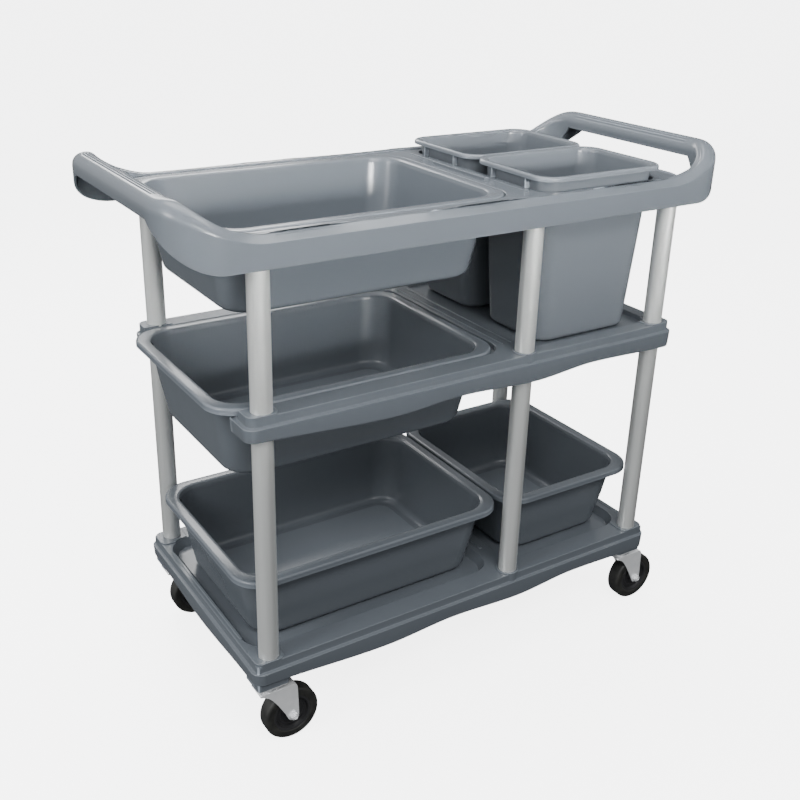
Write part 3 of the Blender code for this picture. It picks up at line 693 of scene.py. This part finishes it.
def band_mesh():
    """Inverted channel all round, with a woven crown edge and grip grooves."""
    sections, arc_steps = (110, 60), 24
    outer = band_outline(0.0, sections, arc_steps)
    lift = [rise(p) for p in outer]
    low = [low_edge(p) for p in outer]
    wave = [(CREASE_SHIFT - CREASE_WAVE
             * math.cos(2 * math.pi * (x - CREASE_START) / CREASE_PITCH)) * (1 - t)
            for (x, _), t in zip(outer, lift)]
    grip, inner_grip = [], []
    for (x, y), t in zip(outer, lift):
        first, last = GRIP_LEFT if x < 0 else GRIP_RIGHT
        along = smooth((y - first) / GRIP_FADE) * smooth((last - y) / GRIP_FADE)
        grip.append(along if abs(x) > HANDLE_HALF_X - HANDLE_CORNER else 0.0)
        plain = (smooth((y - SMOOTH_PANEL[0]) / PANEL_FADE)
                 * smooth((SMOOTH_PANEL[1] - y) / PANEL_FADE))
        inner_grip.append(grip[-1] * (1 - plain) if x < 0 else grip[-1])

    def ring(inset, heights, weave=0.0):
        points = band_outline(inset, sections, arc_steps)
        return [(x, y - math.copysign(w * weave, y), z)
                for (x, y), z, w in zip(points, heights, wave)]

    def between(a, b):
        return [a + (b - a) * t for t in lift]

    def blend(rail, handle, weave=0.0, sunk=0.0, mask=None):
        """Ring between the rails' (inset, z) and the handles' (inset, z)."""
        low_ring = band_outline(rail[0], sections, arc_steps)
        high_ring = band_outline(handle[0], sections, arc_steps)
        points = []
        for (ax, ay), (bx, by), t, w, g in zip(low_ring, high_ring, lift, wave,
                                               mask or grip):
            y = ay + (by - ay) * t
            points.append((ax + (bx - ax) * t, y - math.copysign(w * weave, y),
                           rail[1] + (handle[1] - rail[1]) * t - sunk * g))
        return points

    def bar_top(inset):
        """Rounded top of a handle bar."""
        if inset < HANDLE_ROUND:
            return HANDLE_TOP - HANDLE_ROUND * (
                1 - math.sqrt(1 - (1 - inset / HANDLE_ROUND) ** 2))
        inner_round = HANDLE_WIDTH - INNER_ROUND_START
        across = max(inset - INNER_ROUND_START, 0.0) / inner_round
        return HANDLE_TOP - inner_round * (1 - math.sqrt(max(1 - across ** 2, 0.0)))

    rings = [ring(0.0012, low), ring(0.0002, [z + 0.0012 for z in low]),
             ring(0.0, [z + 0.0030 for z in low])]
    for turn, inset in zip((0.0, 0.33, 0.67, 1.0), (0.0, 0.0008, 0.0018, 0.0032)):
        a = math.pi / 2 * turn
        rings.append(blend((EDGE * (1 - math.cos(a)),
                            TOP_CREASE - EDGE * (1 - math.sin(a))),
                           (inset, bar_top(inset))))
    for part, inset in ((0.20, 0.0052), (0.45, 0.0078), (0.70, 0.0108), (0.90, 0.0142),
                        (0.96, 0.0152), (1.0, 0.0162)):
        across = EDGE + (CROWN_INSET - EDGE) * part
        rings.append(blend((across, TOP_CREASE + (TOP_LEVEL - TOP_CREASE) * part),
                           (inset, bar_top(inset)), part))
    first, last = GROOVE_INSETS
    pitch = (last - first) / GROOVES
    for k in range(GROOVES):
        for offset, depth in ((0.22, 0.0), (0.34, 0.9), (0.5, 1.0), (0.66, 0.9),
                              (0.78, 0.0)):
            share = (k + offset) / GROOVES
            inset = first + pitch * (k + offset)
            rings.append(blend((CROWN_INSET + 0.0004 + 0.004 * share, TOP_LEVEL),
                               (inset, bar_top(inset)), 1.0 - 0.6 * share,
                               GROOVE_DEPTH * depth,
                               inner_grip if k >= GROOVES // 2 else grip))
    for (drop, flat), inset in zip(((0.0145, 0.0), (0.0095, 0.0), (0.0045, 0.0004),
                                    (0.0012, 0.0010), (0.0, 0.0026)),
                                   (0.0462, 0.0474, 0.0486, 0.0495, 0.0500)):
        rings.append(blend((HANDLE_WIDTH - drop, TOP_LEVEL - flat),
                           (inset, bar_top(inset))))
    inner_low = [max(z, TOP_DECK - 0.010) for z in low]
    crease = between(TOP_CREASE, HANDLE_CREASE - 0.008)
    under_crown = between(TOP_LEVEL, HANDLE_TOP)
    shoulder = between(TOP_LEVEL, HANDLE_TOP - 0.020)
    wall = BAND_WALL
    rings += [ring(HANDLE_WIDTH, [z + 0.0015 for z in inner_low]),
              ring(HANDLE_WIDTH - 0.0010, inner_low),
              ring(HANDLE_WIDTH - wall + 0.0010, inner_low),
              ring(HANDLE_WIDTH - wall, [z + 0.0010 for z in inner_low]),
              ring(HANDLE_WIDTH - wall, [z - wall - 0.001 for z in shoulder]),
              ring(HANDLE_WIDTH - wall - 0.006, [z - wall - 0.001 for z in under_crown]),
              ring(CROWN_INSET + 0.006, [z - wall - 0.001 for z in under_crown], 0.4),
              ring(wall + 0.004, [z - wall for z in between(TOP_CREASE, HANDLE_CREASE)]),
              ring(wall, [z - wall - 0.003 for z in crease]),
              ring(wall, [z + 0.0030 for z in low]),
              ring(wall - 0.0010, low)]
    return loft(rings, capped=False)


def top_shelf():
    shelf = make_object("top_shelf_look", band_mesh())
    tub_low, tub_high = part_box("top_tub")
    bin_low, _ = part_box("front_bin")
    _, bin_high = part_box("rear_bin")
    tub_x = (tub_low[0] + tub_high[0]) / 2
    rim_floor = tub_high[2] - TUB_LIP - GAP
    steps = [pan(DECK_SPAN, 0.250, 0.0, 0.070, rim_floor, 0.002, TOP_DECK)]
    for at in POSTS.values():
        steps.append(("UNION", disc(SOCKET_BOSS_RADIUS, TOP_BOSS_LOW, TOP_DECK - 0.0080,
                                    at)))
    for at in POSTS.values():
        steps.append(("DIFFERENCE", disc(SOCKET_RADIUS, TOP_BOSS_LOW - CUT_PAST,
                                         TOP_BOSS_LOW + SOCKET_DEPTH, at)))
    half = ((tub_high[0] - tub_low[0]) / 2 + 0.0035, tub_high[1] + 0.0005)
    steps.append(("DIFFERENCE", pocket(half, TUB_CORNER, rim_floor, TOP_DECK, (tub_x, 0),
                                       0.002, EDGE)))
    body = (half[0] - 0.0035 - TUB_FLANGE + 0.0015, tub_high[1] - TUB_FLANGE + 0.0015)
    steps.append(("DIFFERENCE", stack(body, 0.045, [(0.0, TOP_BAND_LOW - 0.1),
                                                    (0.0, TOP_LEVEL + 0.02)],
                                      (tub_x, 0))))
    bin_x = (bin_low[0] + bin_high[0]) / 2
    half = ((bin_high[0] - bin_low[0]) / 2 - BIN_FLANGE + 0.003,
            bin_high[1] - BIN_FLANGE + 0.003)
    opening = [(0.0, TOP_BAND_LOW - 0.1), (0.0, TOP_DECK - 0.002),
               (-0.0006, TOP_DECK - 0.0006), (-0.002, TOP_DECK), (-0.002, TOP_LEVEL + 0.02)]
    steps.append(("DIFFERENCE", stack(half, 0.035, opening, (bin_x, 0))))
    x = (tub_high[0] + bin_low[0]) / 2
    steps.append(("UNION", bar((x - 0.0055, x + 0.0055), RIDGE_Y, TOP_DECK - 0.002,
                               TOP_DECK + 0.0060, 0.0015, 0.0012)))
    steps.append(("UNION", bar((x + 0.0125, x + 0.0150), (-0.200, 0.200),
                               TOP_DECK - 0.002, TOP_DECK + 0.0014)))
    carve(shelf, steps)
    return finish_piece(shelf, SHELF_MAT, "frame", ("top_shelf",))


# ---------------- tubes
def tubes():
    for tier in ("lower", "upper"):
        for place in PLACES:
            node = f"{tier}_tube_{place}"
            low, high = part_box(node)
            radius = half_of(node)[0]
            x, y, _ = middle_of(node)
            bore = radius - TUBE_WALL
            profile = [(bore, low[2] + 0.0004), (bore + 0.0004, low[2]),
                       (radius - 0.0004, low[2]), (radius, low[2] + 0.0004)]
            profile += [(radius, low[2] + (high[2] - low[2]) * k / 8) for k in range(1, 8)]
            profile += [(radius, high[2] - 0.0004), (radius - 0.0004, high[2]),
                        (bore + 0.0004, high[2]), (bore, high[2] - 0.0004)]
            tube = turned(f"{node}_look", profile, 64, (x, y, 0), closed=True)
            finish_piece(tube, TUBE_MAT, "frame", (node,), 40, False)


# ---------------- tubs and bins
def container_rows(height, flange, foot, lip):
    """(inset, draft share, z) rows from the outside foot over the rim to the inside."""
    def share(z):
        return 1 - z / height

    rows = [(flange + foot - foot * math.sin(a), share(0.0), foot * (1 - math.cos(a)))
            for a in quarter_turns(6)]
    under = height - 0.0045
    rows += [(flange, share(height * 0.5), height * 0.5),
             (flange, share(under - 0.003), under - 0.003),
             (flange - 0.0008, 0.0, under - 0.0008), (flange - 0.003, 0.0, under),
             (0.0045, 0.0, under), (0.0030, 0.0, under - 0.0010),
             (0.0025, 0.0, height - lip + 0.0006), (0.0020, 0.0, height - lip),
             (0.0006, 0.0, height - lip), (0.0, 0.0, height - lip + 0.0008),
             (0.0, 0.0, height - 0.0050), (0.0006, 0.0, height - 0.0026),
             (0.0022, 0.0, height - 0.0008), (0.0048, 0.0, height),
             (flange - 0.0050, 0.0, height - 0.0003),
             (flange - 0.0010, 0.0, height - 0.0009),
             (flange + 0.0018, 0.0, height - 0.0026),
             (flange + 0.0030, 0.0, height - 0.0058),
             (flange + WALL + 0.0005, share(height - 0.011), height - 0.011),
             (flange + WALL, share(height * 0.5), height * 0.5)]
    inner = foot - 0.001
    rows += [(flange + WALL + inner - inner * math.cos(a), share(WALL), WALL + inner
              - inner * math.sin(a)) for a in quarter_turns(6)]
    return rows


def container(node, corner, flange, draft, foot, lip, material, panel):
    """A tub or bin with a raised panel, (inset, corner), in its bottom."""
    low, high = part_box(node)
    centre = middle_of(node)
    half = half_of(node)
    height = high[2] - low[2]
    rings = []
    for inset, deep, z in container_rows(height, flange, foot, lip):
        outline = rounded_outline(half[0] - inset - deep * draft[0],
                                  half[1] - inset - deep * draft[1],
                                  corner - 0.3 * inset, 18, (8, 6))
        rings.append([(x + centre[0], y + centre[1], z + low[2]) for x, y in outline])
    tub = make_object(f"{node}_look", loft(rings))
    floor_half = (half[0] - flange - draft[0] - foot - panel[0],
                  half[1] - flange - draft[1] - foot - panel[0])
    floor = low[2] + WALL
    bead = ("UNION", stack(floor_half, panel[1], [(0.0, floor - 0.001),
                                                   (0.0008, floor + 0.0008),
                                                   (0.0022, floor + 0.0012)],
                           (centre[0], centre[1]), 10))
    carve(tub, [bead])
    return finish_piece(tub, material, node, (node,))


def containers():
    for node in ("top_tub", "middle_tub", "lower_large_tub", "lower_medium_tub"):
        container(node, TUB_CORNER, TUB_FLANGE, (TUB_DRAFT, TUB_DRAFT), TUB_FOOT, TUB_LIP,
                  TUB_MAT, (0.012, 0.03))
    for node in ("front_bin", "rear_bin"):
        container(node, BIN_CORNER, BIN_FLANGE, BIN_DRAFT, BIN_FOOT, BIN_LIP, BIN_MAT,
                  (0.010, 0.02))
        low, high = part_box(node)
        middle = (low[1] + high[1]) / 2
        for index, side in enumerate((-1, 1)):
            y = middle + side * TAB_SPREAD
            rows = [(0.0006, high[2] - 0.030), (0.0, high[2] - 0.028),
                    (0.0, high[2] - 0.004)]
            tab = make_object(f"{node}_tab_{index}",
                              stack(TAB_HALF, 0.0015, rows, (low[0] + 0.0095, y), 4))
            finish_piece(tab, BIN_MAT, node)


# ---------------- casters
def fork_look(place):
    """Pressed fork: dished crown, two creased legs and rounded edges."""
    node = f"fork_{place}"
    sx, sy, _ = middle_of(f"kingpin_{place}")
    ax, _, az = middle_of(f"axle_{place}")
    trail = ax - sx
    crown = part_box(f"race_{place}")[0][2] - 0.0063
    half = half_of(node)[1]
    gap = half - FORK_SHEET
    back = trail + FORK_EYE
    points = [(-0.023, crown), (-0.0247, crown - 0.0012), (-0.025, crown - 0.003),
              (-0.0180, crown - 0.0055), (-0.0080, crown - 0.0115),
              (0.0005, crown - 0.0215), (0.0095, crown - 0.0350),
              (0.0180, crown - 0.0500), (0.0250, crown - 0.0630)]
    points += [(trail + FORK_EYE * math.cos(math.radians(a)),
                az + FORK_EYE * math.sin(math.radians(a))) for a in range(206, 361, 11)]
    points += [(back, az + 0.012), (back - 0.002, crown - 0.012),
               (back - 0.0028, crown - 0.006), (back - 0.0048, crown - 0.0024),
               (back - 0.0080, crown - 0.0005), (back - 0.011, crown)]
    cx = sum(p[0] for p in points) / len(points)
    cz = sum(p[1] for p in points) / len(points)
    edge = FORK_EDGE
    rings = []
    for y, shrink in ((-half, edge), (-half + edge * 0.35, edge * 0.3),
                      (-half + edge, 0.0), (half - edge, 0.0),
                      (half - edge * 0.35, edge * 0.3), (half, edge)):
        rings.append([(x - math.copysign(min(shrink, abs(x - cx)), x - cx),
                       y, z - math.copysign(min(shrink, abs(z - cz)), z - cz))
                      for x, z in points])
    fork = make_object(f"{node}_look", loft(rings))
    dome = disc(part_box(f"race_{place}")[1][0] - sx - 0.0035, crown - 0.002, crown + 0.0055,
                (0, 0), 48, 0.0030)
    throat_rows = [(0.0, -0.01), (0.0, crown - 0.0055), (0.0008, crown - 0.0036),
                   (0.0026, crown - 0.0027)]
    throat = stack((0.09, gap), 0.0005, throat_rows, (0, 0), 1, follow=0.0)
    pin_hole = disc(PIN_HOLE, 0.08, 0.14, (0, 0), 24)
    axle_hole = disc(AXLE_HOLE, -0.04, 0.04, (0, 0), 24)
    bmesh.ops.rotate(axle_hole, verts=axle_hole.verts, cent=(0, 0, 0),
                     matrix=Matrix.Rotation(math.pi / 2, 3, "X"))
    bmesh.ops.translate(axle_hole, verts=axle_hole.verts, vec=(trail, 0, az))
    carve(fork, [("UNION", dome), ("DIFFERENCE", throat), ("DIFFERENCE", pin_hole),
                 ("DIFFERENCE", axle_hole)])
    fork.data.transform(Matrix.Translation((sx, sy, 0)))
    finish_piece(fork, ZINC_MAT, f"swivel_{place}", (node,), 30)


def plate_look(place):
    """Mounting plate and its four slotted screws."""
    node = f"plate_{place}"
    low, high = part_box(node)
    x, y, _ = middle_of(node)
    half = half_of(node)[:2]
    rows = [(0.0006, low[2]), (0.0, low[2] + 0.0006), (0.0, high[2] - 0.0006),
            (0.0006, high[2])]
    plate = make_object(f"{node}_look", stack(half, 0.006, rows, (x, y), 8))
    carve(plate, [("DIFFERENCE", disc(PIN_HOLE, 0.1, 0.2, (x, y), 24))])
    finish_piece(plate, ZINC_MAT, "frame", (node,))
    for index, (sx, sy) in enumerate(((-1, -1), (1, -1), (-1, 1), (1, 1))):
        px, py = x + sx * (half[0] - SCREW_INSET), y + sy * (half[1] - SCREW_INSET)
        z = low[2]
        profile = [(0.0, z - 0.0022), (0.0016, z - 0.0021), (0.0033, z - 0.0013),
                   (0.0041, z - 0.0002), (0.0041, z + 0.0004), (0.0, z + 0.0004)]
        screw = turned(f"plate_screw_{place}_{index}", profile, 20, (px, py, 0))
        slot = stack((0.0032, 0.0005), 0.0003, [(0.0, z - 0.003), (0.0, z - 0.0014)],
                     (px, py), 1)
        carve(screw, [("DIFFERENCE", slot)])
        finish_piece(screw, ZINC_MAT, "frame")


def race_look(place):
    """Ball race: two round-edged rings, one on the other."""
    node = f"race_{place}"
    low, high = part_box(node)
    x, y, middle = middle_of(node)
    outer = half_of(node)[0]
    profile = [(RACE_BORE, low[2])]
    for base, top in ((low[2], middle - 0.0005), (middle + 0.0005, high[2])):
        h = (top - base) / 2
        for k in range(9):
            a = -math.pi / 2 + math.pi * k / 8
            profile.append((outer - h + h * math.cos(a), base + h + h * math.sin(a)))
    profile.append((RACE_BORE, high[2]))
    race = turned(f"{node}_look", profile, 64, (x, y, 0), closed=True)
    finish_piece(race, CHROME_MAT, "frame", (node,), 40, False)


def wheel_look(place):
    """Tyre with rounded shoulders, and a hub with a stepped disc."""
    x, y, z = middle_of(f"tyre_{place}")
    _, half, radius = half_of(f"tyre_{place}")
    profile = [(TYRE_BORE, half - 0.0010), (TYRE_BORE + 0.001, half - 0.0002),
               (TYRE_BORE + 0.0024, half), (radius - 0.0090, half)]
    for k in range(9):
        a = math.pi / 2 * k / 8
        crowned = TYRE_ROUND * math.sin(a) * 0.98 + TYRE_ROUND * 0.02 * k / 8
        profile.append((radius - TYRE_ROUND + crowned,
                        half - TYRE_ROUND + TYRE_ROUND * math.cos(a)))
    profile.append((radius, 0.0))
    profile += [(r, -h) for r, h in reversed(profile[:-1])]
    tyre = turned(f"tyre_{place}_look", profile, 96, (x, y, z), "Y", closed=True)
    finish_piece(tyre, TYRE_MAT, f"wheel_{place}", (f"tyre_{place}",), 40,
                 False)
    rim = half_of(f"hub_{place}")[2]
    rows = [(0.0046, 0.0170), (0.0115, 0.0170), (0.0125, 0.0164), (0.0128, 0.0110),
            (0.0140, 0.0088), (0.0160, 0.0082), (0.0225, 0.0084), (0.0232, 0.0094),
            (0.0245, 0.0098), (0.0258, 0.0094), (0.0266, 0.0086), (rim - 0.0067, 0.0090),
            (rim - 0.0054, 0.0115), (rim - 0.0046, 0.0138), (rim - 0.0030, 0.0145),
            (rim, 0.0145)]
    hub_rows = rows + [(r, -h) for r, h in reversed(rows)]
    hub = turned(f"hub_{place}_look", hub_rows, 64, (x, y, z), "Y", closed=True)
    finish_piece(hub, HUB_MAT, f"wheel_{place}", (f"hub_{place}",), 34,
                 False)


def hexagon(radius, low, high):
    """Rings of a nut with chamfered ends."""
    rows = [(radius * 0.93, low), (radius, low + 0.0005), (radius, high - 0.0005),
            (radius * 0.93, high)]
    return [[(r * math.cos(math.pi / 3 * k), r * math.sin(math.pi / 3 * k), h)
             for k in range(6)] for r, h in rows]


def axle_look(place):
    """Round-headed axle bolt and its nut."""
    node = f"axle_{place}"
    x, _, z = middle_of(node)
    half = half_of(f"fork_{place}")[1] + GAP
    y0 = middle_of(f"fork_{place}")[1]
    thread_start = -half - NUT_DEPTH
    profile = [(0.0, half + 0.0045), (0.0030, half + 0.0044), (0.0058, half + 0.0036),
               (0.0074, half + 0.0018), (0.0078, half + 0.0006), (0.0078, half),
               (0.0040, half), (0.0040, thread_start)]
    for k in range(THREADS):
        base = thread_start - k * THREAD_PITCH
        profile += [(0.0036, base - THREAD_PITCH / 2), (0.0040, base - THREAD_PITCH)]
    profile += [(0.0034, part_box(node)[0][1] - y0), (0.0, thread_start - 0.0025)]
    profile = [(r, -h) for r, h in profile]
    axle = turned(f"{node}_look", profile, 32, (x, y0, z), "Y")
    finish_piece(axle, ZINC_MAT, f"swivel_{place}", (node,), 35, False)
    nut = make_object(f"axle_nut_{place}_look",
                      loft(hexagon(NUT_RADIUS, half, half + NUT_DEPTH)))
    carve(nut, [("DIFFERENCE", disc(0.0042, half - 0.01, half + 0.02, (0, 0), 24))])
    nut.data.transform(Matrix.Translation((x, y0, z))
                       @ Matrix.Rotation(math.pi / 2, 4, "X"))
    finish_piece(nut, ZINC_MAT, f"swivel_{place}", (f"axle_nut_{place}",), 30)


def casters():
    for place in CORNERS:
        plate_look(place)
        race_look(place)
        fork_look(place)
        wheel_look(place)
        axle_look(place)
        pin = bpy.data.objects[f"kingpin_{place}"]
        pin.data.materials.clear()
        pin.data.materials.append(ZINC_MAT)


bottom_shelf()
middle_shelf()
top_shelf()
tubes()
containers()
casters()

# ---------------- floor, light, camera
FLOOR_MAT = Recipe("studio_floor")
FLOOR_MAT.set(Roughness=0.85, Emission_Color=(1.0, 1.0, 1.0, 1.0), Emission_Strength=4.5)
FLOOR_MAT.colour(FLOOR_MAT.mix(FLOOR_MAT.ramp(FLOOR_MAT.noise(2.0), 0.0, 1.0),
                               (0.90, 0.90, 0.90), (0.92, 0.92, 0.92)))
FLOOR_SIZE = 30.0
floor_mesh = bmesh.new()
bmesh.ops.create_grid(floor_mesh, x_segments=8, y_segments=8, size=FLOOR_SIZE)
floor = make_object("studio_floor", floor_mesh)
floor.data.materials.append(FLOOR_MAT.mat)
floor.visible_diffuse = False
floor.visible_glossy = False

world = bpy.data.worlds.new("studio")
bpy.context.scene.world = world
world.use_nodes = True
sky = world.node_tree
height = sky.nodes.new("ShaderNodeSeparateXYZ")
sky.links.new(sky.nodes.new("ShaderNodeTexCoord").outputs["Generated"],
              height.inputs["Vector"])
fade = sky.nodes.new("ShaderNodeValToRGB")      # dark below, bright overhead
first, last = fade.color_ramp.elements
first.position, first.color = 0.35, (0.10, 0.105, 0.11, 1.0)
last.position, last.color = 0.95, (0.95, 0.97, 1.0, 1.0)
fade.color_ramp.elements.new(0.52).color = (0.42, 0.43, 0.44, 1.0)
shift = sky.nodes.new("ShaderNodeMapRange")
shift.inputs["From Min"].default_value = -1.0
sky.links.new(height.outputs["Z"], shift.inputs["Value"])
sky.links.new(shift.outputs["Result"], fade.inputs["Fac"])
sideways = sky.nodes.new("ShaderNodeMapRange")  # brighter from the left than the right
for socket, value in (("From Min", -0.8), ("From Max", 0.8), ("To Min", 1.9),
                      ("To Max", 0.45)):
    sideways.inputs[socket].default_value = value
sky.links.new(height.outputs["X"], sideways.inputs["Value"])
tint = sky.nodes.new("ShaderNodeVectorMath")
tint.operation = "SCALE"
sky.links.new(fade.outputs["Color"], tint.inputs[0])
sky.links.new(sideways.outputs["Result"], tint.inputs["Scale"])
sky.links.new(tint.outputs["Vector"], sky.nodes["Background"].inputs["Color"])
sky.nodes["Background"].inputs["Strength"].default_value = 1.0


def lamp(name, place, target, size, power, spread=180):
    """Rectangular softbox; spread is in degrees."""
    data = bpy.data.lights.new(name, "AREA")
    data.shape = "RECTANGLE"
    data.size, data.size_y = size
    data.energy = power
    data.spread = math.radians(spread)
    obj = bpy.data.objects.new(name, data)
    obj.location = place
    aim = Vector(target) - Vector(place)
    obj.rotation_euler = aim.to_track_quat("-Z", "Y").to_euler()
    bpy.context.scene.collection.objects.link(obj)


lamp("overhead_softbox", (0.1, 0.4, 2.6), (0, 0, 0.8), (1.8, 0.8), 26)
lamp("front_softbox", (-0.3, -2.1, 2.7), (0.1, 0, 0.9), (1.7, 0.7), 56)
lamp("upper_front_strip", (0.1, -2.4, 1.35), (0.1, 0, 1.02), (2.2, 0.25), 7, 26)
lamp("left_softbox", (-2.6, -0.5, 2.1), (0, 0, 0.9), (0.7, 1.2), 42)
lamp("rear_softbox", (0.4, 2.7, 2.3), (0, 0, 0.7), (1.6, 0.8), 40)

CAMERA_PLACE = Vector((-1.1085, -1.6500, 1.4307))
CAMERA_YAW = math.radians(-33.59)
CAMERA_PITCH = math.radians(23.28)
CAMERA_ROLL = math.radians(1.69)
SENSOR_WIDTH = 36.0             # millimetres
FOCAL_LENGTH = 46.38
SHIFT = (-0.0035, -0.02725)
back = Vector((math.sin(CAMERA_YAW) * math.cos(CAMERA_PITCH),
               -math.cos(CAMERA_YAW) * math.cos(CAMERA_PITCH), math.sin(CAMERA_PITCH)))
right = (-back).cross(Vector((0, 0, 1))).normalized()
up = right.cross(-back)
side = math.cos(CAMERA_ROLL) * right + math.sin(CAMERA_ROLL) * up
over = -math.sin(CAMERA_ROLL) * right + math.cos(CAMERA_ROLL) * up
lens = bpy.data.cameras.new("main_camera")
lens.sensor_width = SENSOR_WIDTH
lens.lens = FOCAL_LENGTH
lens.shift_x, lens.shift_y = SHIFT
lens.clip_start = 0.05
camera = bpy.data.objects.new("main_camera", lens)
camera.matrix_world = Matrix((
    (side.x, over.x, back.x, CAMERA_PLACE.x), (side.y, over.y, back.y, CAMERA_PLACE.y),
    (side.z, over.z, back.z, CAMERA_PLACE.z), (0, 0, 0, 1)))
bpy.context.scene.collection.objects.link(camera)
bpy.context.scene.camera = camera
